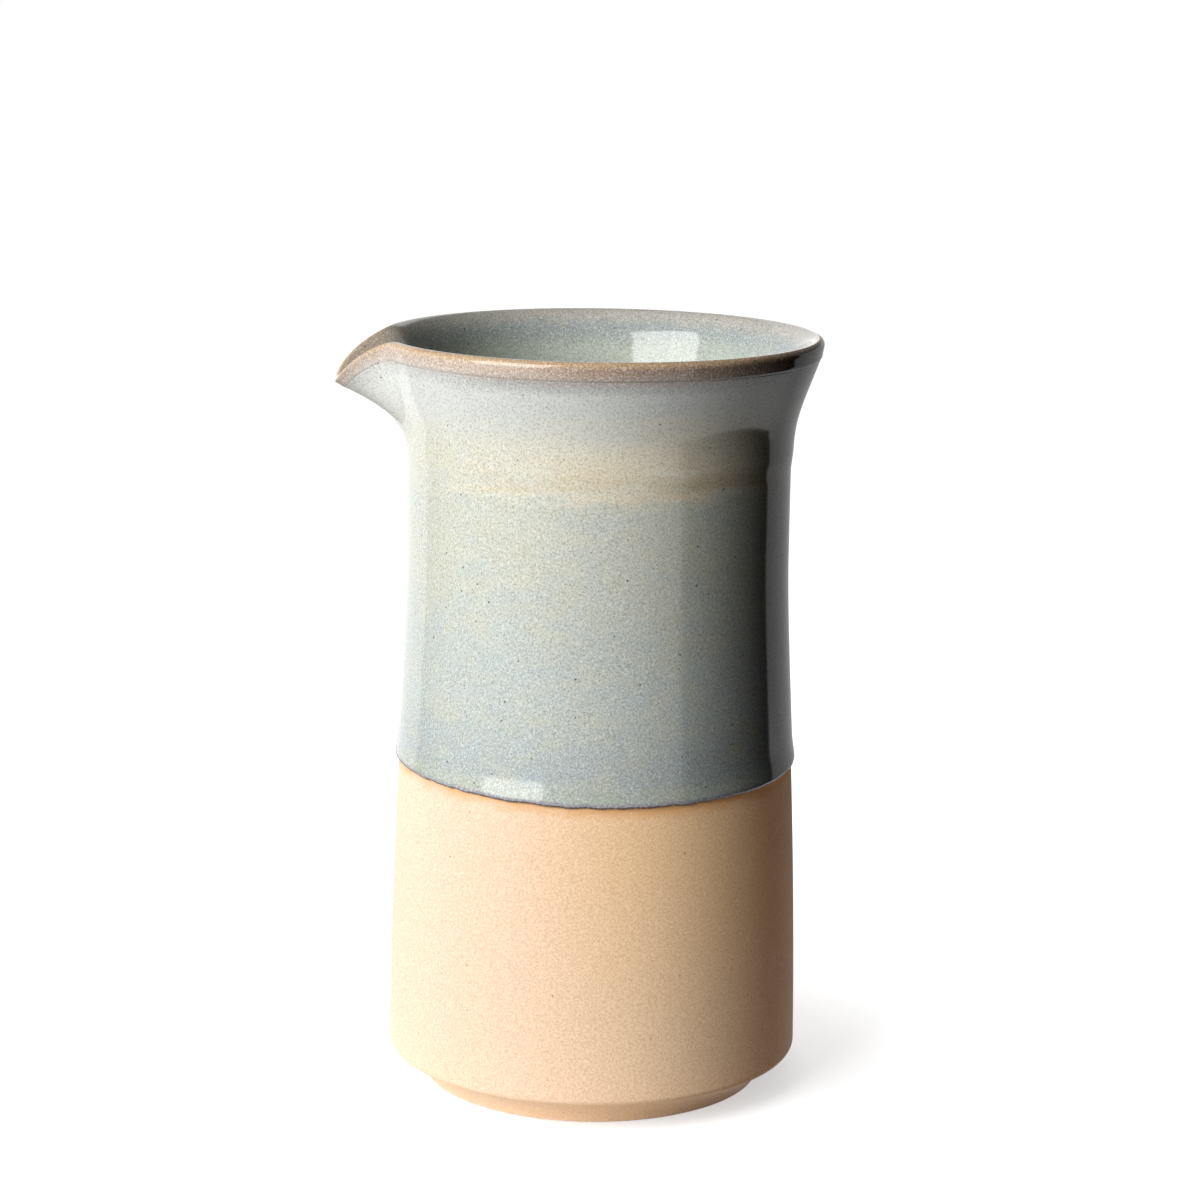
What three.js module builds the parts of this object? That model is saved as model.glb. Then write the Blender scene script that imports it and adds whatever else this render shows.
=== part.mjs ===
// A handleless table carafe in stoneware: a thrown clay body with a bevelled base, a flared rim and
// a pulled pouring spout, lined with glaze, dipped twice outside and banded with iron glaze at the rim.
// Millimetres, +Z up. The origin is the middle of the flat base, and the spout points along -X.
import * as THREE from 'three';
import { mergeVertices } from 'three/addons/utils/BufferGeometryUtils.js';

const { degToRad } = THREE.MathUtils;

// Clay body. Depths are measured down from the clay's top edge.
const bodyHeight = 199.5;
const baseRadius = 44.5;
const bevelHeight = 8.8;
const bevelHollow = 0.9;
const heelRadius = 54.7;
const heelRound = 1;
const heelLean = degToRad(0.6);
const waistRadius = 49.8;
const waistDepth = 42.4;
const waistLength = 13;
const rimRadius = 57.7;
const rimFlare = degToRad(19.8);
const wall = 4.4;
const floorThickness = 7;
const floorRound = 12;

// Lip: rounded outside, and sloping down the inside to the full wall. Two handles bend the slope.
const lipRound = 1;
const lipSlope = 8;
const crestHandle = 1.5;
const slopeHandle = 3;

// Handles of the two wall curves, as shares of each curve's height.
const bellyFullness = 0.52;
const bellyEase = 0.21;
const flareEase = 0.57;
const flareFullness = 0.55;

// Spout pulled from the soft rim: the lip moves out and down, and the pull fades towards the root.
const spoutReach = 10.9;
const spoutDrop = 11.15;
const spoutDepth = 30;
const spoutEase = 1.45;
const mouthAngle = degToRad(12.1);
const mouthSquareness = 3.4;
const dropAngle = degToRad(10.5);
const dropSquareness = 2.6;

// Glaze coats. The first dip ends in a rolled bead, whose line wanders a little round the body.
const coatGap = 0.1;
const firstCoat = 0.4;
const secondCoat = 0.3;
const linerCoat = 0.5;
const crestCoat = 0.35;
const firstDip = 112.7;
const secondDip = 34.7;
const rimBand = 3.7;
const beadSwell = 0.5;
const beadLength = 4.2;
const edgeRoll = 0.9;
const edgeShare = 0.3;
const featherLength = 8;
const dipWander = 0.7;
const wanderPhase = 0.5;
const wanderReach = 14;

// Facets round the body, crowded towards the spout, and rings on each stretch of the wall.
const facets = 52;
const crowding = 0.62;
const rings = {
  bevel: 3, heel: 2, bareWall: 4, edgeRoll: 2, bead: 2, firstDip: 4, secondDip: 6,
  lipRound: 3, lipSlope: 4, linedMouth: 7, linedBelly: 3, floorRound: 4,
};
const heightTolerance = 1e-9;

// Heights and places that follow from the sizes above.
const waistTop = bodyHeight - waistDepth;
const waistBottom = waistTop - waistLength;
const firstLine = bodyHeight - firstDip;
const secondLine = bodyHeight - secondDip;
const rimLine = bodyHeight - rimBand;
const spoutRoot = bodyHeight - spoutDepth;
const wallFoot = bevelHeight + heelRound;
const lipFoot = bodyHeight - lipSlope;
const lipCentre = new THREE.Vector2(rimRadius - lipRound, bodyHeight - lipRound);
const rimMiddle = rimRadius - wall / 2;
const secondLift = 2 * coatGap + firstCoat;
const rimCoat = secondLift + secondCoat - coatGap;

const toPoint = (radius, height) => new THREE.Vector2(radius, height);
const clampShare = (value) => THREE.MathUtils.clamp(value, 0, 1);

// Heights from low up to, but without, high.
function levels(low, high, count) {
  return Array.from({ length: count }, (_, i) => low + ((high - low) * i) / count);
}

// Outside of the wall, from the heel through the waist to the start of the lip's rounding.
function makeWallCurve() {
  const heel = toPoint(heelRadius, bevelHeight);
  const waistFoot = toPoint(waistRadius, waistBottom);
  const waistHead = toPoint(waistRadius, waistTop);
  const flareNormal = toPoint(Math.cos(rimFlare), -Math.sin(rimFlare));
  const flareAlong = toPoint(Math.sin(rimFlare), Math.cos(rimFlare));
  const lipStart = lipCentre.clone().addScaledVector(flareNormal, lipRound);
  const bellyHeight = waistBottom - bevelHeight;
  const flareHeight = lipStart.y - waistTop;
  const heelAlong = toPoint(-Math.sin(heelLean), Math.cos(heelLean));
  const heelHandle = heelAlong.multiplyScalar(bellyFullness * bellyHeight);
  const waistHandle = toPoint(0, -bellyEase * bellyHeight);
  const rootHandle = toPoint(0, flareEase * flareHeight);
  const lipHandle = flareAlong.multiplyScalar(-flareFullness * flareHeight);

  const curve = new THREE.CurvePath();
  curve.add(new THREE.CubicBezierCurve(
    heel, heel.clone().add(heelHandle), waistFoot.clone().add(waistHandle), waistFoot));
  curve.add(new THREE.LineCurve(waistFoot, waistHead));
  curve.add(new THREE.CubicBezierCurve(
    waistHead, waistHead.clone().add(rootHandle), lipStart.clone().add(lipHandle), lipStart));
  return curve;
}

const wallCurve = makeWallCurve();

// A station is a point of the clay's skin with the direction that faces out of the clay there.
function outerStation(height) {
  let low = 0;
  let high = 1;
  while (high - low > heightTolerance) {
    const middle = (low + high) / 2;
    if (wallCurve.getPoint(middle).y < height) {
      low = middle;
    } else {
      high = middle;
    }
  }
  const along = wallCurve.getTangent(high);
  return { point: wallCurve.getPoint(high), outward: toPoint(along.y, -along.x) };
}

function innerStation(height) {
  const { point, outward } = outerStation(height);
  return { point: point.addScaledVector(outward, -wall), outward: outward.negate() };
}

// Stations on an arc about a centre, from one angle to another, with both ends.
function arcStations(centre, radius, from, to, steps, facing) {
  return Array.from({ length: steps + 1 }, (_, i) => {
    const angle = from + ((to - from) * i) / steps;
    const spoke = toPoint(Math.cos(angle), Math.sin(angle));
    return {
      point: centre.clone().addScaledVector(spoke, radius),
      outward: spoke.multiplyScalar(facing),
    };
  });
}

// Stations down the inside of the lip, from just past its crest to the full wall.
function makeLipSlope() {
  const crest = lipCentre.clone().add(toPoint(0, lipRound));
  const foot = innerStation(lipFoot);
  const upTheWall = toPoint(foot.outward.y, -foot.outward.x);
  const leave = crest.clone().add(toPoint(-crestHandle, 0));
  const arrive = foot.point.clone().addScaledVector(upTheWall, slopeHandle);
  const slope = new THREE.CubicBezierCurve(crest, leave, arrive, foot.point);
  return levels(1, 0, rings.lipSlope).reverse().map((share) => {
    const along = slope.getTangent(share);
    return { point: slope.getPoint(share), outward: toPoint(along.y, -along.x) };
  });
}

const beadTop = firstLine + 2 * beadLength;
const dipTop = rimLine - coatGap;
const linerTop = lipFoot - coatGap;
const bareWall = levels(wallFoot, firstLine, rings.bareWall).map(outerStation);
const dippedWall = [
  ...levels(firstLine, firstLine + edgeRoll, rings.edgeRoll),
  ...levels(firstLine + edgeRoll, beadTop, rings.bead),
  ...levels(beadTop, secondLine, rings.firstDip),
].map(outerStation);
const twiceDippedWall = [...levels(secondLine, dipTop, rings.secondDip), dipTop].map(outerStation);
const outerBand = outerStation(rimLine);
const lipOutside = arcStations(lipCentre, lipRound, -rimFlare, Math.PI / 2, rings.lipRound, 1);
const lipInside = makeLipSlope();
const innerFoot = floorThickness + floorRound;
const linedWall = [
  ...levels(innerFoot, waistBottom, rings.linedBelly),
  ...levels(waistBottom, linerTop, rings.linedMouth),
  linerTop,
].map(innerStation).reverse();
const floorCorner = toPoint(linedWall.at(-1).point.x - floorRound, innerFoot);
const floorArc = arcStations(floorCorner, floorRound, 0, -Math.PI / 2, rings.floorRound, -1).slice(1);
const floorMiddle = { point: toPoint(0, floorThickness), outward: toPoint(0, 1) };

const rimStations = [outerBand, ...lipOutside, ...lipInside];
const linerStations = [...linedWall, ...floorArc, floorMiddle];

// Bell that is 1 where the value is 0 and fades over the given width to either side.
function bell(value, width, squareness) {
  return Math.exp(-(Math.abs(value / width) ** squareness));
}

// Moves every point alike, clay and glaze, so the coats stay on the wall that they cover.
function shapeBody(geometry) {
  const places = geometry.getAttribute('position');
  for (let i = 0; i < places.count; i += 1) {
    const radius = Math.hypot(places.getX(i), places.getY(i));
    const height = places.getZ(i);
    const evenTurn = Math.atan2(places.getY(i), -places.getX(i));
    const turn = evenTurn - crowding * Math.sin(evenTurn);
    const upTheFlare = height + (radius - rimMiddle) * Math.tan(rimFlare);
    const pull = clampShare((upTheFlare - spoutRoot) / spoutDepth) ** spoutEase;
    const reach = spoutReach * pull * bell(turn, mouthAngle, mouthSquareness);
    const drop = spoutDrop * pull * bell(turn, dropAngle, dropSquareness);
    const nearLine = bell(height - firstLine, wanderReach, 2);
    const wander = dipWander * nearLine * Math.cos(2 * turn + wanderPhase);
    places.setXYZ(
      i,
      -(radius + reach) * Math.cos(turn),
      (radius + reach) * Math.sin(turn),
      height - drop + wander,
    );
  }
}

// Cuts every four-sided facet from its lower corner nearer the spout, whichever way its profile runs,
// so the facets of a coat lie parallel to those that it covers.
function splitFacets(lathe, profile) {
  const triangles = [];
  for (let i = 0; i < facets; i += 1) {
    for (let j = 0; j + 1 < profile.length; j += 1) {
      const a = i * profile.length + j;
      const b = a + profile.length;
      const towardsSpout = i < facets / 2;
      const goingUp = profile[j].y < profile[j + 1].y;
      if (goingUp === towardsSpout) {
        triangles.push(a, b, a + 1, b + 1, a + 1, b);
      } else {
        triangles.push(a, b, b + 1, a, b + 1, a + 1);
      }
    }
  }
  lathe.setIndex(triangles);
}

function revolve(profile) {
  const seamAwayFromSpout = Math.PI / 2;
  const lathe = new THREE.LatheGeometry(profile, facets, seamAwayFromSpout);
  splitFacets(lathe, profile);
  lathe.rotateX(Math.PI / 2);
  shapeBody(lathe);
  lathe.deleteAttribute('normal');
  lathe.deleteAttribute('uv');
  const solid = mergeVertices(lathe);
  solid.computeVertexNormals();
  return solid;
}

// Closed profile of a coat over a run of stations, lifted off what it covers.
function coatProfile(stations, lift, thicknessAt) {
  const raise = (station, distance) => station.point.clone().addScaledVector(station.outward, distance);
  const under = stations.map((station) => raise(station, lift));
  const over = stations.map((station, i) => raise(station, lift + thicknessAt(station, i)));
  const profile = [...under.reverse(), ...over];
  const meetsAxis = over.at(-1).x === 0;
  return meetsAxis ? profile : [...profile, profile[0].clone()];
}

function clayProfile() {
  const heel = toPoint(heelRadius, bevelHeight);
  const baseEdge = toPoint(baseRadius, 0);
  const bevelEnd = heel.clone().add(baseEdge.clone().sub(heel).setLength(heelRound));
  const bevelAlong = bevelEnd.clone().sub(baseEdge).normalize();
  const bevelMiddle = baseEdge.clone().lerp(bevelEnd, 0.5);
  const hollowMiddle = bevelMiddle.add(toPoint(-bevelAlong.y, bevelAlong.x).multiplyScalar(2 * bevelHollow));
  const bevelCurve = new THREE.QuadraticBezierCurve(baseEdge, hollowMiddle, bevelEnd);
  const heelCurve = new THREE.QuadraticBezierCurve(bevelEnd, heel, bareWall[0].point);
  const skin = [
    ...bareWall.slice(1), ...dippedWall, ...twiceDippedWall, ...rimStations, ...linerStations,
  ];
  return [
    toPoint(0, 0),
    ...bevelCurve.getPoints(rings.bevel),
    ...heelCurve.getPoints(rings.heel).slice(1),
    ...skin.map((station) => station.point),
  ];
}

function firstCoatProfile() {
  const thickness = ({ point }) => {
    const rise = point.y - firstLine;
    const bead = firstCoat + beadSwell * Math.exp(-((rise / beadLength) ** 2));
    return bead * (edgeShare + (1 - edgeShare) * clampShare(rise / edgeRoll));
  };
  return coatProfile([...dippedWall, ...twiceDippedWall], coatGap, thickness);
}

function secondCoatProfile() {
  const thickness = ({ point }) => {
    const feather = clampShare((point.y - secondLine) / featherLength);
    return secondCoat * (edgeShare + (1 - edgeShare) * feather);
  };
  return coatProfile(twiceDippedWall, secondLift, thickness);
}

// The band thins from the two outer coats' depth to the lip's crest, and thickens again to the liner's.
function rimCoatProfile() {
  const thickness = (_, i) => {
    const pastCrest = i - lipOutside.length;
    return pastCrest < 0
      ? THREE.MathUtils.lerp(crestCoat, rimCoat, -pastCrest / lipOutside.length)
      : THREE.MathUtils.lerp(crestCoat, linerCoat, pastCrest / lipInside.length);
  };
  return coatProfile(rimStations, coatGap, thickness);
}

function linerProfile() {
  return coatProfile(linerStations, coatGap, () => linerCoat);
}

function makePiece(name, profile, look) {
  const piece = new THREE.Mesh(revolve(profile), new THREE.MeshStandardMaterial({ metalness: 0, ...look }));
  piece.name = name;
  return piece;
}

const carafe = new THREE.Group();
carafe.name = 'carafe';
carafe.add(
  makePiece('stoneware_body', clayProfile(), { color: '#d8b78c', roughness: 0.85 }),
  makePiece('liner_glaze', linerProfile(), { color: '#9aa59e', roughness: 0.15 }),
  makePiece('body_glaze', firstCoatProfile(), { color: '#8f9c9a', roughness: 0.12 }),
  makePiece('shoulder_glaze', secondCoatProfile(), { color: '#b4bdba', roughness: 0.12 }),
  makePiece('rim_glaze', rimCoatProfile(), { color: '#8b6b54', roughness: 0.25 }),
);

export default carafe;
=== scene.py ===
"""Looks of a stoneware carafe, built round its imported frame.

A thrown clay body stands bare below a glaze line. It is lined with glaze, dipped twice outside and banded
with iron at the rim. Sizes are millimetres until a piece is thrown, and metres from there, apart from the
depths and patterns of the finishes. +Z is up, and the spout points along -X.
"""

import math
from collections import namedtuple

import bpy
from mathutils import Matrix, Vector


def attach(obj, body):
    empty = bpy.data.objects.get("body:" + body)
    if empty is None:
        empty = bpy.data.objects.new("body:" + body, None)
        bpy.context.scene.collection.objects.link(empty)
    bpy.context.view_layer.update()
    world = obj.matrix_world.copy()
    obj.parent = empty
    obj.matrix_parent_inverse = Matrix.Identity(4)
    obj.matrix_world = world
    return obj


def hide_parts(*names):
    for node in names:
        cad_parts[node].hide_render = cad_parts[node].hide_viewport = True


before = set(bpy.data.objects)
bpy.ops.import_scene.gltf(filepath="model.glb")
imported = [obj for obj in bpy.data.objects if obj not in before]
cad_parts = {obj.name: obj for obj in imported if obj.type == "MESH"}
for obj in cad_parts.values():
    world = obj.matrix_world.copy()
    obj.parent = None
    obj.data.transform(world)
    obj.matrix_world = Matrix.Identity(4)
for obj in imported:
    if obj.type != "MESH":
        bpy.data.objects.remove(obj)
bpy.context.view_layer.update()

MM = 0.001

# Clay body, as in the part's source. Depths are measured down from the clay's top edge.
body_height = 199.5
base_radius = 44.5
base_edge_round = 0.6
base_edge_middle = Vector((-0.18, 0.1))
bevel_height = 8.8
bevel_hollow = 0.9
heel_radius = 54.7
heel_round = 1
heel_lean = math.radians(0.6)
waist_radius = 49.8
waist_depth = 42.4
waist_length = 13
rim_radius = 57.7
rim_flare = math.radians(19.8)
wall = 4.4
floor_thickness = 7
floor_round = 12
spout_depth = 30

# Lip: rounded outside, and sloping down the inside to the full wall. Two handles bend the slope.
lip_round = 1
lip_slope = 8
crest_handle = 1.5
slope_handle = 4.6

# Handles of the two wall curves, as shares of each curve's height.
belly_fullness = 0.52
belly_ease = 0.21
flare_ease = 0.57
flare_fullness = 0.55

# Glaze coats, measured from the clay.
first_coat = 0.5
second_coat = 0.9
crest_coat = 0.44
liner_coat = 0.6
under_clay = 0.02
first_dip = 112.7
second_dip = 34.7
rim_band = 3.7
rim_overlap = 0.8
rim_ridge = 0.1
ridge_width = 0.8
bead_swell = 0.5
bead_length = 4.2
edge_roll = 0.9
edge_step = 0.005
feather_length = 6

# Steps along each stretch of a profile, and how far the two fine stretches reach above a dip's edge.
bevel_steps = 14
heel_steps = 6
bare_wall_steps = 60
roll_steps = 8
bead_stretch = 9
bead_steps = 24
dip_steps = 44
feather_stretch = 8
feather_steps = 12
shoulder_steps = 30
overlap_steps = 10
band_steps = 16
lip_steps = 14
slope_steps = 24
lower_lining_steps = 24
upper_lining_steps = 40
floor_round_steps = 14
base_shares = (0, 0.4, 0.75, 0.9)
floor_shares = (0.75, 0.5, 0.25, 0)

# Heights and places that follow from the sizes above.
waist_top = body_height - waist_depth
waist_bottom = waist_top - waist_length
first_line = body_height - first_dip
second_line = body_height - second_dip
rim_line = body_height - rim_band
band_start = rim_line - rim_overlap
wall_foot = bevel_height + heel_round
lip_foot = body_height - lip_slope
lip_centre = Vector((rim_radius - lip_round, body_height - lip_round))
inner_foot = floor_thickness + floor_round

# What the wheel and the potter's fingers do to a profile: sizes in metres, angles in radians.
wheel_sizes = {
    "Facets": 240,
    "Crowding": 0.62,
    "Rim middle radius": (rim_radius - wall / 2) * MM,
    "Rim flare": rim_flare,
    "Spout root height": (body_height - spout_depth) * MM,
    "Spout depth": spout_depth * MM,
    "Spout ease": 1.45,
    "Spout reach": 10.9 * MM,
    "Spout drop": 11.15 * MM,
    "Mouth angle": math.radians(12.1),
    "Mouth squareness": 3.4,
    "Drop angle": math.radians(10.5),
    "Drop squareness": 2.6,
    "Dip line height": first_line * MM,
    "Dip wander": 0.7 * MM,
    "Wander phase": 0.5,
    "Wander reach": 14 * MM,
    "Dip ripple": 1.5 * MM,
    "Ripple reach": 3 * MM,
    "Ripple count": 12.0,
    "Ripple seed": 4.0,
}


# Profiles

# A point of the clay's skin, the way out of the clay there, and whether it is outside or inside the carafe.
Station = namedtuple("Station", "point outward side")
OUTSIDE = -1
INSIDE = 1


def bezier(points, share):
    """Point and direction on a cubic curve."""
    start, leave, arrive, end = points
    rest = 1 - share
    point = start * rest**3 + leave * (3 * share * rest**2) + arrive * (3 * share**2 * rest) + end * share**3
    along = (leave - start) * rest**2 + (arrive - leave) * (2 * share * rest) + (end - arrive) * share**2
    return point, along.normalized()


def make_wall_curves():
    """Outside of the wall: belly, waist and flare, from the heel to the lip's rounding."""
    heel = Vector((heel_radius, bevel_height))
    waist_foot = Vector((waist_radius, waist_bottom))
    waist_head = Vector((waist_radius, waist_top))
    lip_start = lip_centre + Vector((math.cos(rim_flare), -math.sin(rim_flare))) * lip_round
    belly_height = waist_bottom - bevel_height
    flare_height = lip_start.y - waist_top
    heel_handle = Vector((-math.sin(heel_lean), math.cos(heel_lean))) * belly_fullness * belly_height
    lip_handle = Vector((math.sin(rim_flare), math.cos(rim_flare))) * flare_fullness * flare_height
    up = Vector((0, 1))
    third = up * waist_length / 3
    return [
        (heel, heel + heel_handle, waist_foot - up * belly_ease * belly_height, waist_foot),
        (waist_foot, waist_foot + third, waist_head - third, waist_head),
        (waist_head, waist_head + up * flare_ease * flare_height, lip_start - lip_handle, lip_start),
    ]


wall_curves = make_wall_curves()


def outer_station(height):
    """Station of the outer wall at a height, found by halving the curve that passes it."""
    curve = next((c for c in wall_curves if height <= c[-1].y), wall_curves[-1])
    low, high = 0.0, 1.0
    halvings = 40
    for _ in range(halvings):
        middle = (low + high) / 2
        if bezier(curve, middle)[0].y < height:
            low = middle
        else:
            high = middle
    point, along = bezier(curve, high)
    return Station(point, Vector((along.y, -along.x)), OUTSIDE)


def inner_station(height):
    """Station of the inner wall, straight through the clay from the outer one at a height."""
    outer = outer_station(height)
    return Station(outer.point - outer.outward * wall, -outer.outward, INSIDE)


def levels(low, high, count):
    """Heights from low up to, but without, high."""
    return [low + (high - low) * i / count for i in range(count)]


def arc_stations(centre, radius, start, end, steps, side):
    """Stations round a centre, which the clay faces away from outside and towards inside."""
    stations = []
    for i in range(steps + 1):
        angle = start + (end - start) * i / steps
        spoke = Vector((math.cos(angle), math.sin(angle)))
        stations.append(Station(centre + spoke * radius, spoke * -side, side))
    return stations


def slope_stations():
    """Stations down the inside of the lip to the full wall. A short last step shades flat up to the edge."""
    crest = lip_centre + Vector((0, lip_round))
    foot = inner_station(lip_foot)
    up_the_wall = Vector((foot.outward.y, -foot.outward.x))
    slope = (crest, crest - Vector((crest_handle, 0)), foot.point + up_the_wall * slope_handle, foot.point)
    shares = [i / slope_steps for i in range(1, slope_steps)]
    shares += [1 - edge_step / (3 * slope_handle), 1]
    stations = []
    for share in shares:
        point, along = bezier(slope, share)
        stations.append(Station(point, Vector((along.y, -along.x)), INSIDE))
    return stations


def rolled_edge_heights():
    """Heights round the rolled lower edge of the first dip."""
    quarter = math.pi / 2
    return [first_line + edge_roll * (1 - math.cos(quarter * i / roll_steps)) for i in range(roll_steps)]


bead_top = first_line + bead_stretch
feather_top = second_line + feather_stretch
lip_start_height = lip_centre.y - lip_round * math.sin(rim_flare)

bare_wall = [outer_station(z) for z in levels(wall_foot, first_line, bare_wall_steps)]
dipped_heights = rolled_edge_heights()
dipped_heights += levels(first_line + edge_roll, bead_top, bead_steps)
dipped_heights += levels(bead_top, second_line, dip_steps)
dipped_wall = [outer_station(z) for z in dipped_heights]
shoulder_heights = levels(second_line, feather_top, feather_steps)
shoulder_heights += levels(feather_top, rim_line, shoulder_steps) + [rim_line]
twice_dipped_wall = [outer_station(z) for z in shoulder_heights]
band_heights = levels(band_start, rim_line, overlap_steps) + levels(rim_line, lip_start_height, band_steps)
outer_band = [outer_station(z) for z in band_heights]
outer_lip = arc_stations(lip_centre, lip_round, -rim_flare, math.pi / 2, lip_steps, OUTSIDE)
inner_lip = slope_stations()
lined_heights = levels(inner_foot, waist_bottom, lower_lining_steps)
lined_heights += levels(waist_bottom, lip_foot, upper_lining_steps) + [lip_foot - edge_step, lip_foot]
lined_wall = [inner_station(z) for z in reversed(lined_heights)]
floor_corner = Vector((lined_wall[-1].point.x - floor_round, inner_foot))
floor_arc = arc_stations(floor_corner, floor_round, 0, -math.pi / 2, floor_round_steps, INSIDE)[1:]
floor_flat = [
    Station(Vector((floor_corner.x * share, floor_thickness)), Vector((0, 1)), INSIDE)
    for share in floor_shares
]

rim_stations = outer_band + outer_lip + inner_lip
liner_stations = lined_wall + floor_arc + floor_flat


def lifted_point(station, lift=0.0):
    """Radius, height and depth below the crest, negative outside, of a station lifted off the clay."""
    lifted = station.point + station.outward * lift
    return lifted.x, lifted.y, station.side * (body_height - station.point.y)


def coat_profile(stations, thickness_at):
    """Closed profile of a coat over a run of stations."""
    under = [lifted_point(station, -under_clay) for station in stations]
    over = [lifted_point(station, thickness_at(station)) for station in stations]
    profile = under[::-1] + over
    meets_axis = stations[-1].point.x == 0
    return profile if meets_axis else profile + profile[:1]


def round_nose(rise, length):
    """Share of the full thickness at a rise above a coat's edge, which is rounded over a length."""
    share = min(max(rise / length, 0), 1)
    return math.sqrt(1 - (1 - share) ** 2)


def smooth_step(share):
    share = min(max(share, 0), 1)
    return share * share * (3 - 2 * share)


def first_thickness(station):
    """Rolled at the lower edge, with a bead above it."""
    rise = station.point.y - first_line
    swell = bead_swell * math.exp(-((rise / bead_length) ** 2))
    return (first_coat + swell) * round_nose(rise, edge_roll)


def second_thickness(station):
    """Feathered out over the first dip at the lower edge."""
    thin = first_coat - under_clay
    return thin + (second_coat - thin) * smooth_step((station.point.y - second_line) / feather_length)


def rim_thickness(station):
    """A low ridge over the second dip's upper edge, thin at the crest, and inside as thick as the lining."""
    height = station.point.y
    if station.side == INSIDE:
        return crest_coat + (liner_coat - crest_coat) * smooth_step((body_height - height) / lip_slope)
    lapped = smooth_step((height - band_start) / rim_overlap)
    thinned = smooth_step((height - rim_line) / rim_band)
    ridge = rim_ridge * math.exp(-(((height - rim_line) / ridge_width) ** 2))
    return second_coat - under_clay + (ridge + under_clay) * lapped - (second_coat - crest_coat) * thinned


def liner_thickness(_):
    return liner_coat


def bend(start, corner, end, share):
    """Point on a curve from start to end that leans towards a corner."""
    rest = 1 - share
    return start * rest**2 + corner * 2 * share * rest + end * share**2


def clay_profile():
    """Profile of the clay, from the middle of the base up the outside and down the inside to the floor."""
    heel = Vector((heel_radius, bevel_height))
    base_edge = Vector((base_radius, 0))
    bevel_end = heel + (base_edge - heel).normalized() * heel_round
    along = (bevel_end - base_edge).normalized()
    hollow = base_edge.lerp(bevel_end, 0.5) + Vector((-along.y, along.x)) * 2 * bevel_hollow
    wall_start = bare_wall[0].point
    points = [Vector((base_radius * share, 0)) for share in base_shares]
    points.append(base_edge - Vector((base_edge_round, 0)))
    points.append(base_edge + base_edge_middle)
    points.append(base_edge + along * base_edge_round)
    points += [bend(base_edge, hollow, bevel_end, (i + 1) / bevel_steps) for i in range(bevel_steps)]
    points += [bend(bevel_end, heel, wall_start, (i + 1) / heel_steps) for i in range(heel_steps)]
    banded_wall = [station for station in outer_band if station.point.y > rim_line]
    skin = bare_wall[1:] + dipped_wall + twice_dipped_wall + banded_wall + outer_lip + inner_lip
    skin += lined_wall[1:] + floor_arc + floor_flat
    return [(p.x, p.y, p.y - body_height) for p in points] + [lifted_point(station) for station in skin]


# Node trees

class Number:
    """A number that a node tree works out, so that formulas can be written as usual."""

    def __init__(self, tree, socket):
        self.tree = tree
        self.socket = socket

    def reckon(self, operation, *others):
        node = self.tree.nodes.new("ShaderNodeMath")
        node.operation = operation
        for socket, value in zip(node.inputs, (self, *others)):
            put(self.tree, value, socket)
        return Number(self.tree, node.outputs[0])

    def __add__(self, other):
        return self.reckon("ADD", other)

    def __sub__(self, other):
        return self.reckon("SUBTRACT", other)

    def __mul__(self, other):
        return self.reckon("MULTIPLY", other)

    def __truediv__(self, other):
        return self.reckon("DIVIDE", other)

    def __pow__(self, other):
        return self.reckon("POWER", other)

    def __neg__(self):
        return self.reckon("MULTIPLY", -1)

    def __abs__(self):
        return self.reckon("ABSOLUTE")

    __radd__ = __add__
    __rmul__ = __mul__

    def __rsub__(self, other):
        return -self + other


def put(tree, value, socket):
    """Feeds a socket with a number of the tree, another socket or a plain value."""
    if isinstance(value, Number):
        tree.links.new(value.socket, socket)
    elif isinstance(value, bpy.types.NodeSocket):
        tree.links.new(value, socket)
    else:
        socket.default_value = value


def add_node(tree, kind, inputs=None, **settings):
    node = tree.nodes.new(kind)
    for name, value in settings.items():
        setattr(node, name, value)
    for name, value in (inputs or {}).items():
        put(tree, value, node.inputs[name])
    return node


def bell(value, width, power=2.0):
    """1 where value is 0, fading to either side over width."""
    return (-(abs(value / width) ** power)).reckon("EXPONENT")


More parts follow.
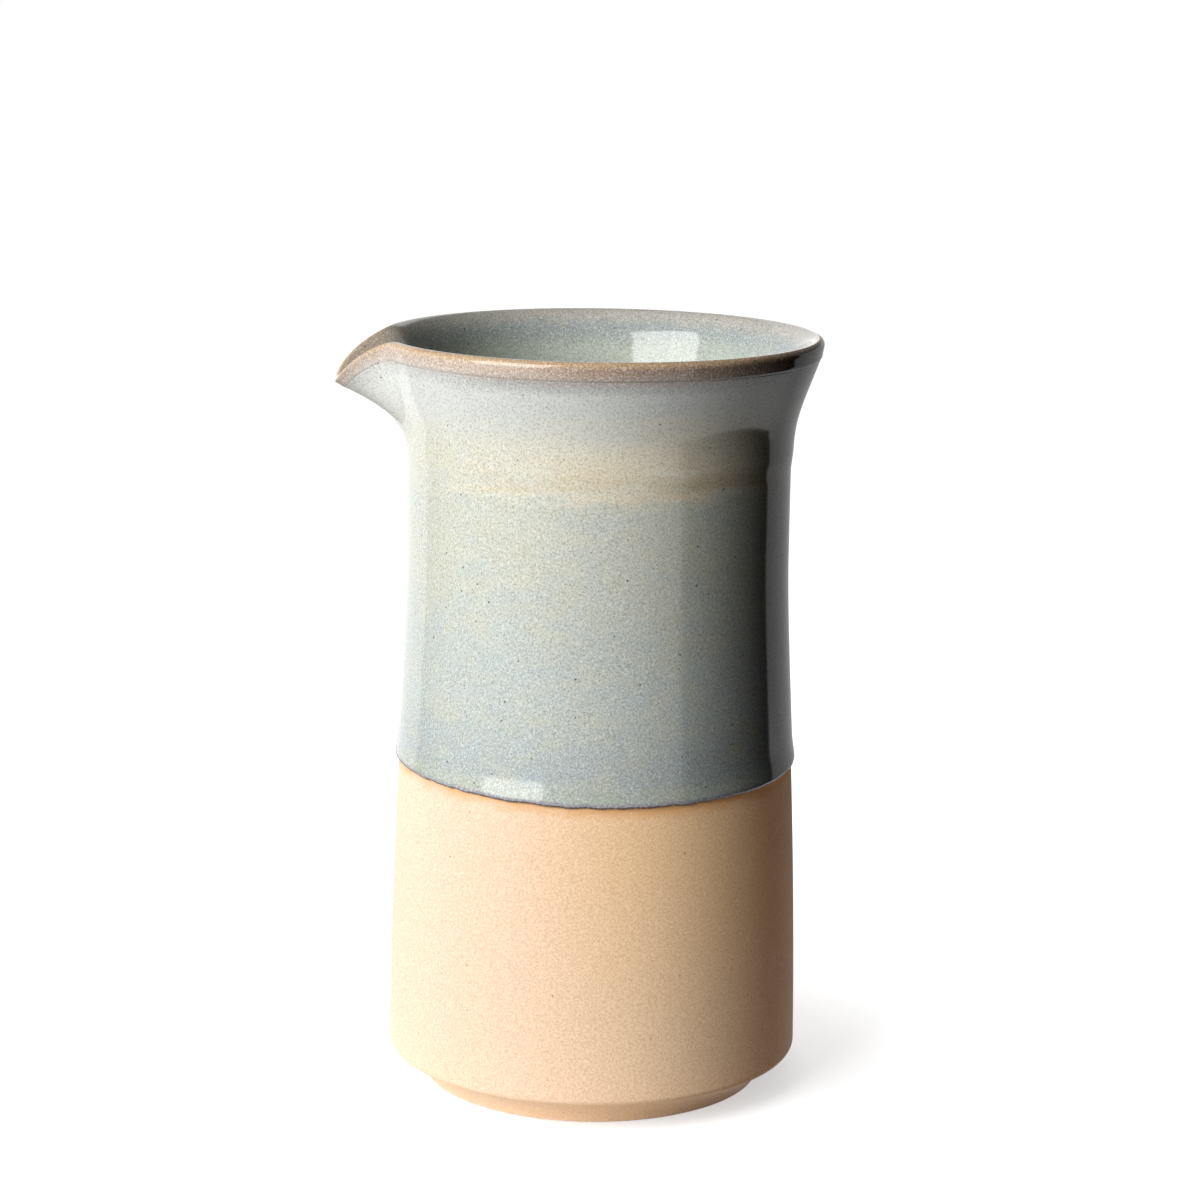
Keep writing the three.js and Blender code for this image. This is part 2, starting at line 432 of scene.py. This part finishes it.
def make_wheel():
    """Tree that turns a profile round the axis, pulls the spout and lets the dip line wander."""
    tree = bpy.data.node_groups.new("throw_and_pull", "GeometryNodeTree")
    tree.interface.new_socket("Profile", in_out="INPUT", socket_type="NodeSocketGeometry")
    for name, size in wheel_sizes.items():
        kind = "NodeSocketInt" if isinstance(size, int) else "NodeSocketFloat"
        tree.interface.new_socket(name, in_out="INPUT", socket_type=kind)
    tree.interface.new_socket("Finish", in_out="INPUT", socket_type="NodeSocketMaterial")
    tree.interface.new_socket("Piece", in_out="OUTPUT", socket_type="NodeSocketGeometry")
    inputs = tree.nodes.new("NodeGroupInput").outputs
    profile = inputs["Profile"]
    size = {name: Number(tree, inputs[name]) for name in wheel_sizes}

    # A grid has one column for each facet and one row for each point of the profile.
    counted = add_node(tree, "GeometryNodeAttributeDomainSize", {"Geometry": profile})
    rows = Number(tree, counted.outputs["Point Count"])
    grid = add_node(tree, "GeometryNodeMeshGrid", {"Vertices X": size["Facets"] + 1, "Vertices Y": rows})
    index = Number(tree, tree.nodes.new("GeometryNodeInputIndex").outputs[0])
    rounding_guard = 0.0001
    column = (index / rows + rounding_guard).reckon("FLOOR")
    row = index - column * rows

    def sampled(value, kind):
        node = add_node(tree, "GeometryNodeSampleIndex", data_type=kind, domain="POINT")
        put(tree, profile, node.inputs["Geometry"])
        put(tree, value, node.inputs["Value"])
        put(tree, row, node.inputs["Index"])
        return node.outputs["Value"]

    def named(name):
        node = add_node(tree, "GeometryNodeInputNamedAttribute", {"Name": name}, data_type="FLOAT")
        return node.outputs["Attribute"]

    position = tree.nodes.new("GeometryNodeInputPosition").outputs[0]
    parts = add_node(tree, "ShaderNodeSeparateXYZ", {"Vector": sampled(position, "FLOAT_VECTOR")})
    radius = Number(tree, parts.outputs["X"])
    height = Number(tree, parts.outputs["Z"])
    below_crest = sampled(named("below_crest"), "FLOAT")
    along = sampled(named("along"), "FLOAT")

    # Columns crowd together at the spout, which is pulled out and down near the rim.
    even_turn = column / size["Facets"] * math.tau - math.pi
    turn = even_turn - size["Crowding"] * even_turn.reckon("SINE")
    cosine = turn.reckon("COSINE")
    sine = turn.reckon("SINE")
    up_the_flare = height + (radius - size["Rim middle radius"]) * size["Rim flare"].reckon("TANGENT")
    pulled = (up_the_flare - size["Spout root height"]) / size["Spout depth"]
    pull = pulled.reckon("MAXIMUM", 0).reckon("MINIMUM", 1) ** size["Spout ease"]
    reach = size["Spout reach"] * pull * bell(turn, size["Mouth angle"], size["Mouth squareness"])
    drop = size["Spout drop"] * pull * bell(turn, size["Drop angle"], size["Drop squareness"])

    # The glaze line wanders slowly round the body and ripples finely.
    above_line = height - size["Dip line height"]
    wander = (turn * 2 + size["Wander phase"]).reckon("COSINE") * size["Dip wander"]
    round_the_rim = add_node(tree, "ShaderNodeCombineXYZ", {"X": cosine, "Y": sine}).outputs[0]
    ripple_inputs = {
        "Vector": round_the_rim, "W": size["Ripple seed"], "Scale": size["Ripple count"], "Detail": 3.0,
    }
    rippled = add_node(tree, "ShaderNodeTexNoise", ripple_inputs, noise_dimensions="4D")
    ripple = (Number(tree, rippled.outputs[0]) - 0.5) * size["Dip ripple"]
    lift = wander * bell(above_line, size["Wander reach"]) + ripple * bell(above_line, size["Ripple reach"])

    spread = radius + reach
    place = {"X": -(spread * cosine), "Y": spread * sine, "Z": height - drop + lift}
    placed = add_node(tree, "ShaderNodeCombineXYZ", place).outputs[0]
    shaped = add_node(
        tree, "GeometryNodeSetPosition", {"Geometry": grid.outputs["Mesh"], "Position": placed}
    ).outputs[0]
    strip = add_node(tree, "ShaderNodeCombineXYZ", {"X": turn / math.tau + 0.5, "Y": along}).outputs[0]
    for name, value, kind, domain in (
        ("below_crest", below_crest, "FLOAT", "POINT"),
        ("OFBake", strip, "FLOAT2", "CORNER"),
    ):
        shaped = add_node(
            tree, "GeometryNodeStoreNamedAttribute", {"Geometry": shaped, "Name": name, "Value": value},
            data_type=kind, domain=domain,
        ).outputs[0]
    seam_gap = 1e-6
    closed = add_node(
        tree, "GeometryNodeMergeByDistance", {"Geometry": shaped, "Distance": seam_gap}
    ).outputs[0]
    outward = add_node(tree, "GeometryNodeFlipFaces", {"Mesh": closed}).outputs[0]
    smooth = add_node(tree, "GeometryNodeSetShadeSmooth", {"Geometry": outward}).outputs[0]
    realized = add_node(tree, "GeometryNodeRealizeInstances", {"Geometry": smooth}).outputs[0]
    finished = add_node(
        tree, "GeometryNodeSetMaterial", {"Geometry": realized, "Material": inputs["Finish"]}
    ).outputs[0]
    tree.links.new(finished, tree.nodes.new("NodeGroupOutput").inputs["Piece"])
    return tree


wheel = make_wheel()


def throw(name, profile, finish):
    """A closed piece, turned from its profile and pulled into shape, as a plain mesh."""
    drawn = bpy.data.meshes.new(name + "_profile")
    points = [Vector((radius * MM, 0, height * MM)) for radius, height, _ in profile]
    drawn.from_pydata(points, [], [])
    run = [0.0]
    for a, b in zip(points, points[1:]):
        run.append(run[-1] + (b - a).length)
    depths = [depth for _, _, depth in profile]
    shares = [length / run[-1] for length in run]
    drawn.attributes.new("below_crest", "FLOAT", "POINT").data.foreach_set("value", depths)
    drawn.attributes.new("along", "FLOAT", "POINT").data.foreach_set("value", shares)
    blank = bpy.data.objects.new(name + "_blank", drawn)
    bpy.context.scene.collection.objects.link(blank)
    turning = blank.modifiers.new("turning", "NODES")
    turning.node_group = wheel
    for socket in wheel.interface.items_tree:
        if socket.name in wheel_sizes:
            turning[socket.identifier] = wheel_sizes[socket.name]
        elif socket.name == "Finish":
            turning[socket.identifier] = finish
    thrown = blank.evaluated_get(bpy.context.evaluated_depsgraph_get())
    mesh = bpy.data.meshes.new_from_object(thrown)
    mesh.name = name
    blank.modifiers.remove(turning)
    bpy.data.objects.remove(blank)
    piece = bpy.data.objects.new(name, mesh)
    bpy.context.scene.collection.objects.link(piece)
    return piece


# Finishes, with depths, patterns and bumps in millimetres and places along X in metres

smoothest_clay = 0.56
clay_unevenness = 0.12
clay_specular = 0.6
clay_diffuse_roughness = 0.6
clay_bump = 0.06
glaze_ior = 1.52
dip_roughness = 0.10
inside_roughness = 0.09
inside_specular = 0.33
gloss_unevenness = 0.05
glaze_bump = 0.012


def tint(code):
    """Linear colour of a hex code."""
    shares = [int(code[i:i + 2], 16) / 255 for i in (1, 3, 5)]
    return [s / 12.92 if s <= 0.04045 else ((s + 0.055) / 1.055) ** 2.4 for s in shares] + [1.0]


def start_material(name):
    material = bpy.data.materials.new(name)
    material.use_nodes = True
    tree = material.node_tree
    shader = next(node for node in tree.nodes if node.type == "BSDF_PRINCIPLED")
    return material, tree, shader


def start_finish(name):
    """A material with what every finish reads: the place on the piece and its depth below the crest."""
    material, tree, shader = start_material(name)
    where = tree.nodes.new("ShaderNodeTexCoord").outputs["Object"]
    below_crest = add_node(tree, "ShaderNodeAttribute", attribute_name="below_crest").outputs["Fac"]
    return material, tree, shader, where, Number(tree, below_crest)


def noise(tree, where, size, squeeze=(1, 1, 1), detail=2.0, seed=0.0):
    """Cloudy pattern from 0 to 1, with clouds about size millimetres across, squeezed along each axis."""
    mapped = add_node(tree, "ShaderNodeMapping", {"Vector": where, "Scale": squeeze}).outputs[0]
    cloud = add_node(
        tree, "ShaderNodeTexNoise",
        {"Vector": mapped, "W": seed, "Scale": 1 / (size * MM), "Detail": detail},
        noise_dimensions="4D",
    )
    return Number(tree, cloud.outputs[0])


def specks(tree, where, spacing, radius, share, seed):
    """1 on round specks and 0 between them. Of the cells, spacing wide, a share holds one each."""
    core = 0.4
    softness = 0.02
    shift = (seed, seed, seed)
    mapped = add_node(tree, "ShaderNodeMapping", {"Vector": where, "Location": shift}).outputs[0]
    cells = add_node(tree, "ShaderNodeTexVoronoi", {"Vector": mapped, "Scale": 1 / (spacing * MM)})
    chance = add_node(tree, "ShaderNodeSeparateColor", {"Color": cells.outputs["Color"]}).outputs["Red"]
    near = fade(tree, cells.outputs["Distance"], radius / spacing, core * radius / spacing)
    return near * fade(tree, chance, share + softness, share - softness)


def fade(tree, value, low, high):
    """0 at low, 1 at high and a smooth step between."""
    node = add_node(
        tree, "ShaderNodeMapRange", {"Value": value, "From Min": low, "From Max": high},
        interpolation_type="SMOOTHSTEP",
    )
    return Number(tree, node.outputs["Result"])


def blend(tree, share, first, second):
    """Colour from first, where share is 0, to second, where it is 1."""
    node = add_node(tree, "ShaderNodeMix", data_type="RGBA")
    inputs = {socket.identifier: socket for socket in node.inputs}
    put(tree, share, inputs["Factor_Float"])
    put(tree, first, inputs["A_Color"])
    put(tree, second, inputs["B_Color"])
    return next(socket for socket in node.outputs if socket.identifier == "Result_Color")


def lay(tree, colour, code, share, strength=1.0):
    """Lays the colour of a hex code over another, at full strength or less where share is 1."""
    return blend(tree, share * strength, colour, tint(code))


def sideways(tree, where):
    """Place along X in metres, negative towards the spout."""
    return Number(tree, add_node(tree, "ShaderNodeSeparateXYZ", {"Vector": where}).outputs["X"])


def bump(tree, height, depth, shader):
    """Raises the shaded surface by up to depth millimetres where height is 1."""
    node = add_node(tree, "ShaderNodeBump", {"Height": height, "Distance": depth * MM, "Strength": 1.0})
    put(tree, node.outputs[0], shader.inputs["Normal"])


def make_clay():
    """Matte, grainy clay: warmer upwards, flashed along the glaze line, and paler towards the spout: painted
    light.
    """
    material, tree, shader, where, depth = start_finish("bare_clay")
    above_line = depth + first_dip
    clouds = noise(tree, where, size=22, squeeze=(1, 1, 1.6), detail=3, seed=1)
    grain = noise(tree, where, size=0.5, seed=2)
    patches = noise(tree, where, size=7, squeeze=(1, 1, 2), seed=3)
    sand = specks(tree, where, spacing=1.3, radius=0.26, share=0.30, seed=0.3)
    iron = specks(tree, where, spacing=4.2, radius=0.36, share=0.35, seed=0.7)
    warmth = fade(tree, above_line + clouds * 30, -62, 6)
    # Paler towards the spout, which is the lit side: painted light.
    painted_spout_side = fade(tree, sideways(tree, where), 0.012, -0.048)
    flash = fade(tree, above_line + patches * 5, -1.5, 3)
    dark_grain = fade(tree, grain, 0.44, 0.68)
    pale_grain = fade(tree, grain, 0.48, 0.3)
    colour = lay(tree, tint("#e4c9aa"), "#e3c297", warmth)
    colour = lay(tree, colour, "#dcc5b0", painted_spout_side)
    colour = lay(tree, colour, "#c5a47e", dark_grain, strength=0.55)
    colour = lay(tree, colour, "#f3e0c2", pale_grain, strength=0.4)
    colour = lay(tree, colour, "#bd986d", sand, strength=0.5)
    colour = lay(tree, colour, "#8a5f3c", iron, strength=0.75)
    colour = lay(tree, colour, "#d29a56", flash, strength=0.7)
    put(tree, colour, shader.inputs["Base Color"])
    roughness = fade(tree, grain, 0.2, 0.8) * clay_unevenness + smoothest_clay
    put(tree, roughness, shader.inputs["Roughness"])
    shader.inputs["Specular IOR Level"].default_value = clay_specular
    shader.inputs["Diffuse Roughness"].default_value = clay_diffuse_roughness
    bump(tree, grain + clouds * 0.5, clay_bump, shader)
    return material


def dip_colour(tree, where, depth):
    """Colour of the outer dips by their height, with drifting and streaky borders."""
    # Heights, before the spout is pulled, at which each colour starts and is full.
    grey_border = (90, 112)
    sage_border = (118, 150)
    cream_foot = (161, 166)
    cream_head = (188, 177)
    ochre_foot = (161.5, 165)
    ochre_head = (182, 168)
    shoulder_border = (172, 186)
    grey_tail = (191, 193.5)
    brown_tail = (193.2, 195.4)

    height = depth + body_height
    across = sideways(tree, where)
    drift = noise(tree, where, size=34, squeeze=(1, 1, 4), detail=3, seed=5) - 0.5
    streak = noise(tree, where, size=14, squeeze=(1, 1, 5), detail=3, seed=6) - 0.5
    fuzz = noise(tree, where, size=1.2, squeeze=(1, 1, 0.6), seed=7) - 0.5
    cast = noise(tree, where, size=7, squeeze=(1, 1, 1.8), seed=10)
    olive_cast = fade(tree, cast, 0.48, 0.68)
    blue_cast = fade(tree, cast, 0.5, 0.32)
    painted_spout_side = fade(tree, across, -0.035, -0.06)
    far_side = fade(tree, across, 0, 0.035)
    level = height + drift * 10 + fuzz * 3
    colour = lay(tree, tint("#989f9f"), "#a6aba6", fade(tree, level, *grey_border))
    colour = lay(tree, colour, "#b1b2a6", fade(tree, level, *sage_border))
    colour = lay(tree, colour, "#b3b19a", olive_cast, strength=0.35)
    colour = lay(tree, colour, "#a0abae", blue_cast, strength=0.35)

    # The shoulder is paler towards the spout, on the lit side: painted light.
    shoulder = lay(tree, tint("#c0c2be"), "#d2d3ce", painted_spout_side)
    colour = blend(tree, fade(tree, level, *shoulder_border), colour, shoulder)
    cream_top = level + streak * 12 - far_side * 4
    cream = fade(tree, level + streak * 9, *cream_foot) * fade(tree, cream_top, *cream_head)
    richness = fade(tree, across, -0.045, 0.02) * 0.7 + 0.25
    colour = lay(tree, colour, "#d0c9b4", cream * richness)
    streaked = level + streak * 10
    ochre = fade(tree, streaked, *ochre_foot) * fade(tree, streaked, *ochre_head)
    gathered = fade(tree, streak + drift + bell(across - 0.02, 0.036) * 0.25, 0, 0.35)
    colour = lay(tree, colour, "#c4ae89", ochre * gathered, strength=0.6)

    # The tails are weaker towards the spout, on the lit side: painted light.
    tail = fade(tree, across, -0.06, -0.02) * 0.5 + 0.15
    colour = lay(tree, colour, "#9c9b9a", fade(tree, height + fuzz * 2, *grey_tail) * tail)
    return lay(tree, colour, "#978a7f", fade(tree, height + fuzz * 2, *brown_tail) * tail)


def finish_glaze(tree, shader, where, colour, roughness):
    """Iron specks, mottling and the slightly wavy gloss that all coats share."""
    mottle = noise(tree, where, size=0.5, seed=8)
    dark_mottle = fade(tree, mottle, 0.5, 0.68)
    pale_mottle = fade(tree, mottle, 0.5, 0.32)
    waves = noise(tree, where, size=5, detail=1, seed=9)
    fine_iron = specks(tree, where, spacing=0.9, radius=0.24, share=0.5, seed=0.2)
    iron = specks(tree, where, spacing=3.4, radius=0.36, share=0.4, seed=0.5)
    colour = lay(tree, colour, "#62665f", dark_mottle, strength=0.38)
    colour = lay(tree, colour, "#dde2da", pale_mottle, strength=0.35)
    colour = lay(tree, colour, "#4c4a44", fine_iron, strength=0.32)
    colour = lay(tree, colour, "#2e2a26", iron, strength=0.85)
    put(tree, colour, shader.inputs["Base Color"])
    uneven_gloss = waves * gloss_unevenness + roughness - gloss_unevenness / 2
    put(tree, uneven_gloss, shader.inputs["Roughness"])
    shader.inputs["IOR"].default_value = glaze_ior
    bump(tree, waves, glaze_bump, shader)


def make_dip(name):
    """Outer dip, greenish just above its lower edge and dark along it."""
    material, tree, shader, where, depth = start_finish(name)
    above_line = depth + first_dip
    colour = dip_colour(tree, where, depth)
    bead = fade(tree, above_line, 7, 2.5)
    roll = fade(tree, above_line, 1.9, 0.9)
    edge = fade(tree, above_line, 0.8, 0.45)
    colour = lay(tree, colour, "#a5a994", bead, strength=0.45)
    colour = lay(tree, colour, "#84828c", roll, strength=0.8)
    colour = lay(tree, colour, "#4b343d", edge)
    finish_glaze(tree, shader, where, colour, dip_roughness)
    return material


def inner_colour(tree, where, depth):
    """Colour of the lining by its depth: thin and beige at the lip, grey below and greenish further down."""
    fuzz = noise(tree, where, size=2.2, squeeze=(1, 1, 0.6), detail=3, seed=13) - 0.5
    across = sideways(tree, where)
    level = depth + fuzz * 6
    grey = fade(tree, level, 0.8, 4.5)
    green = fade(tree, level, 4, 11.5)
    painted_spout_side = fade(tree, across, -0.005, -0.05)
    spout = fade(tree, across, -0.047, -0.058) * fade(tree, level, 12, 5)
    colour = lay(tree, tint("#aca79f"), "#959b9a", grey)
    colour = lay(tree, colour, "#adb3a6", green)
    # Darker olive over the spout side of the lining, where the inner wall is in shade: painted shade.
    colour = lay(tree, colour, "#7d7f70", painted_spout_side, strength=0.35)
    return lay(tree, colour, "#94806d", spout, strength=0.75)


def make_rim():
    """Iron band: golden from the crest outwards, then brown that melts into the dip.

    Painted light and shade: palest towards the spout, on the lit side, and darkest opposite it.
    """
    material, tree, shader, where, depth = start_finish("rim_glaze")
    runs = noise(tree, where, size=1.1, squeeze=(1, 1, 0.45), detail=3, seed=11) - 0.5
    grit = noise(tree, where, size=0.3, squeeze=(1, 1, 0.8), seed=12)
    across = sideways(tree, where)
    iron = fade(tree, grit, 0.34, 0.66)
    dark_grit = fade(tree, grit, 0.45, 0.7)
    painted_spout_side = fade(tree, across, 0.005, -0.035)
    painted_shade_side = fade(tree, across, 0.022, 0.05)
    in_band = fade(tree, depth + runs * 2, -6, -1.2)
    on_crest = fade(tree, depth + runs * 1.2, -1.5, -0.2)
    within = fade(tree, depth, -0.06, 0.02)
    brown = lay(tree, tint("#a88f7d"), "#7a6250", iron)
    pale_brown = lay(tree, tint("#cdbbac"), "#a69384", iron)
    # Paler on the lit spout side and darker on the shaded side opposite, in the band and on the crest:
    # painted light and shade.
    brown = blend(tree, painted_spout_side * 0.8, brown, pale_brown)
    brown = lay(tree, brown, "#4a3423", painted_shade_side, strength=0.65)
    golden = lay(tree, tint("#b0926e"), "#7f6548", dark_grit, strength=0.5)
    golden = lay(tree, golden, "#6b4d2f", painted_shade_side, strength=0.6)
    colour = blend(tree, in_band, dip_colour(tree, where, depth), brown)
    colour = blend(tree, on_crest, colour, golden)
    colour = blend(tree, within, colour, inner_colour(tree, where, depth))
    finish_glaze(tree, shader, where, colour, inside_roughness)
    shader.inputs["Specular IOR Level"].default_value = inside_specular
    return material


def make_liner():
    material, tree, shader, where, depth = start_finish("liner_glaze")
    finish_glaze(tree, shader, where, inner_colour(tree, where, depth), inside_roughness)
    shader.inputs["Specular IOR Level"].default_value = inside_specular
    return material


# Pieces

def seat(piece, node):
    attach(piece, "root")
    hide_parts(node)
    return piece


clay_shape = clay_profile()
lining_shape = coat_profile(liner_stations, liner_thickness)
first_shape = coat_profile(dipped_wall + twice_dipped_wall, first_thickness)
second_shape = coat_profile(twice_dipped_wall, second_thickness)
rim_shape = coat_profile(rim_stations, rim_thickness)

thrown_clay = seat(throw("thrown_clay", clay_shape, make_clay()), "stoneware_body")
poured_lining = seat(throw("poured_lining", lining_shape, make_liner()), "liner_glaze")
lower_dip = seat(throw("first_dip", first_shape, make_dip("body_glaze")), "body_glaze")
upper_dip = seat(
    throw("second_dip", second_shape, make_dip("shoulder_glaze")), "shoulder_glaze"
)
iron_rim = seat(throw("iron_rim", rim_shape, make_rim()), "rim_glaze")


# Stage, light and camera, in metres and watts

def bearing(degrees, distance, height):
    """Place at a bearing round the axis: 0 is to the front, and positive bearings are to the right."""
    angle = math.radians(degrees)
    return Vector((math.sin(angle) * distance, -math.cos(angle) * distance, height))


def seen_in_gloss(tree, path):
    """1 on rays that a shiny or clear surface sends out, else 0."""
    return Number(tree, path["Is Glossy Ray"]).reckon("MAXIMUM", path["Is Transmission Ray"])


def make_floor():
    """Table top: white to the camera with a real and a painted shadow round the foot, dimmer towards the
    back in the gloss.

    The light that it throws back on the carafe is warm and comes from near the foot, most of it at the left.
    """
    half_width = 6
    table_white = (0.55, 0.55, 0.55, 1)
    lit_bounce = (0.7, 0.55, 0.36, 1)
    shaded_bounce = (0.2, 0.11, 0.04, 1)
    far_bounce = (0.03, 0.03, 0.03, 1)
    material, tree, shader = start_material("white_table")
    shader.inputs["Roughness"].default_value = 0.9
    shader.inputs["Specular IOR Level"].default_value = 0.1
    shader.inputs["Emission Color"].default_value = (1, 1, 1, 1)
    where = tree.nodes.new("ShaderNodeTexCoord").outputs["Object"]
    away = add_node(tree, "ShaderNodeVectorMath", {"Vector": where}, operation="LENGTH").outputs["Value"]
    spot = add_node(tree, "ShaderNodeSeparateXYZ", {"Vector": where}).outputs
    path = tree.nodes.new("ShaderNodeLightPath").outputs
    shaded = fade(tree, spot["X"], -0.02, 0.055)
    far = fade(tree, away, 0.06, 0.10)
    bounce = blend(tree, far, blend(tree, shaded, lit_bounce, shaded_bounce), far_bounce)
    put(tree, blend(tree, path["Is Camera Ray"], bounce, table_white), shader.inputs["Base Color"])
    # Less glow to the camera round the foot: a painted shadow, over the real one from the lamps.
    past_foot = fade(tree, away, 0.044, 0.062)
    past_shadow = fade(tree, away, 0.058, 0.12)
    to_front = fade(tree, spot["Y"], 0.3, 0)
    white = past_foot * 0.2 + past_shadow * 0.25 + 0.55
    mirrored = to_front * 0.5 + 0.42
    glow = white * path["Is Camera Ray"] + mirrored * seen_in_gloss(tree, path)
    put(tree, glow, shader.inputs["Emission Strength"])
    corners = [(x * half_width, y * half_width, 0) for x, y in ((-1, -1), (1, -1), (1, 1), (-1, 1))]
    mesh = bpy.data.meshes.new("table_top")
    mesh.from_pydata(corners, [], [(0, 1, 2, 3)])
    mesh.materials.append(material)
    table_top = bpy.data.objects.new("table_top", mesh)
    bpy.context.scene.collection.objects.link(table_top)


def make_world():
    """White to the camera, a white wall under a dim ceiling in the gloss, and little fill besides."""
    fill = 0.005
    world = bpy.data.worlds.new("white_studio")
    bpy.context.scene.world = world
    world.use_nodes = True
    tree = world.node_tree
    background = next(node for node in tree.nodes if node.type == "BACKGROUND")
    background.inputs["Color"].default_value = (1, 1, 1, 1)
    direction = tree.nodes.new("ShaderNodeTexCoord").outputs["Generated"]
    upward = add_node(tree, "ShaderNodeSeparateXYZ", {"Vector": direction}).outputs["Z"]
    wall_share = fade(tree, upward, 0.25, 0.02)
    mirrored = wall_share * 0.4 + 0.2
    path = tree.nodes.new("ShaderNodeLightPath").outputs
    seen = Number(tree, path["Is Camera Ray"]).reckon("MAXIMUM", mirrored * seen_in_gloss(tree, path))
    put(tree, seen.reckon("MAXIMUM", fill), background.inputs["Strength"])


def make_softbox(name, spot, target, width, height, power, colour=(1, 1, 1)):
    """Rectangular lamp at a spot, turned towards a target and unseen by the camera."""
    lamp = bpy.data.lights.new(name, "AREA")
    lamp.shape = "RECTANGLE"
    lamp.size = width
    lamp.size_y = height
    lamp.energy = power
    lamp.color = colour
    softbox = bpy.data.objects.new(name, lamp)
    softbox.location = spot
    softbox.rotation_euler = (spot - target).to_track_quat("Z", "Y").to_euler()
    softbox.visible_camera = False
    bpy.context.scene.collection.objects.link(softbox)
    return softbox


def light_only(softbox, pieces):
    """Flags a softbox off everything but the given pieces."""
    lit = bpy.data.collections.new(softbox.name + "_lights")
    for piece in pieces:
        lit.objects.link(piece)
    softbox.light_linking.receiver_collection = lit


def make_flag(start, end, height):
    """Black card that stands along a line on the table and only shows in the gloss."""
    material, _, shader = start_material("black_card")
    shader.inputs["Base Color"].default_value = (0.01, 0.01, 0.01, 1)
    shader.inputs["Specular IOR Level"].default_value = 0
    up = Vector((0, 0, height))
    mesh = bpy.data.meshes.new("black_card")
    mesh.from_pydata([start, end, end + up, start + up], [], [(0, 1, 2, 3)])
    mesh.materials.append(material)
    card = bpy.data.objects.new("black_card", mesh)
    card.visible_camera = False
    bpy.context.scene.collection.objects.link(card)


def make_key(middle):
    """Large softbox from the left front, in two parts, because its lower edge is dimmer."""
    spot = bearing(-50.5, 1.1, 0.54)
    back = (spot - middle).normalized()
    up = back.to_track_quat("Z", "Y") @ Vector((0, 1, 0))
    for name, shift, height, power in (
        ("key_softbox", 0.1, 0.98, 25.8),
        ("key_lower_edge", -0.49, 0.2, 2.8),
    ):
        part_spot = spot + up * shift
        make_softbox(name, part_spot, part_spot - back, width=0.84, height=height, power=power)


def make_lights():
    middle = Vector((0, 0, 0.1))
    make_key(middle)

    # A faint warm glow on the clay at the right.
    warm_card = make_softbox(
        "warm_card", bearing(62, 0.24, 0.05), bearing(62, 0, 0.05),
        width=0.2, height=0.1, power=0.053, colour=(1, 0.63, 0.40),
    )
    light_only(warm_card, [thrown_clay])

    # Weak lamps from the left and behind.
    make_softbox(
        "side_softbox", bearing(-105, 0.9, 0.5), middle,
        width=0.5, height=0.5, power=0.8, colour=(0.8, 0.9, 1),
    )
    make_softbox(
        "back_card", bearing(-160, 0.40, 0.24), bearing(-160, 0, 0.24), width=0.60, height=0.48, power=0.8
    )

    # Fills for the far right side and for the floor inside, which don't show in the gloss.
    back_fill = make_softbox("back_fill", bearing(163, 0.9, 0.23), middle, width=0.3, height=0.3, power=4)
    back_fill.visible_glossy = False
    light_only(back_fill, [thrown_clay, poured_lining, lower_dip, upper_dip, iron_rim])
    over_mouth = Vector((0, 0, 0.7))
    mouth_lamp = make_softbox("mouth_lamp", over_mouth, middle, width=0.03, height=0.03, power=0.004)
    mouth_lamp.data.spread = math.radians(6)
    mouth_lamp.visible_glossy = False
    light_only(mouth_lamp, [poured_lining])

    make_flag(bearing(42.3, 0.33, 0), bearing(110.8, 0.47, 0), 0.5)


def make_camera():
    """Camera at the photograph's viewing angle."""
    offset = Vector((0.00075, -0.8457, 0.3054))
    turn = math.radians(4.55)
    pitch = math.radians(11.774)
    roll = math.radians(0.773)
    data = bpy.data.cameras.new("camera")
    data.sensor_width = 36
    data.lens = 97.95
    camera = bpy.data.objects.new("camera", data)
    spin = Matrix.Rotation(-turn, 4, "Z")
    tilt = Matrix.Rotation(math.pi / 2 - pitch, 4, "X")
    lean = Matrix.Rotation(roll, 4, "Z")
    camera.matrix_world = spin @ Matrix.Translation(offset) @ tilt @ lean
    bpy.context.scene.collection.objects.link(camera)
    bpy.context.scene.camera = camera


make_floor()
make_world()
make_lights()
make_camera()
bpy.context.scene.view_settings.view_transform = "Standard"
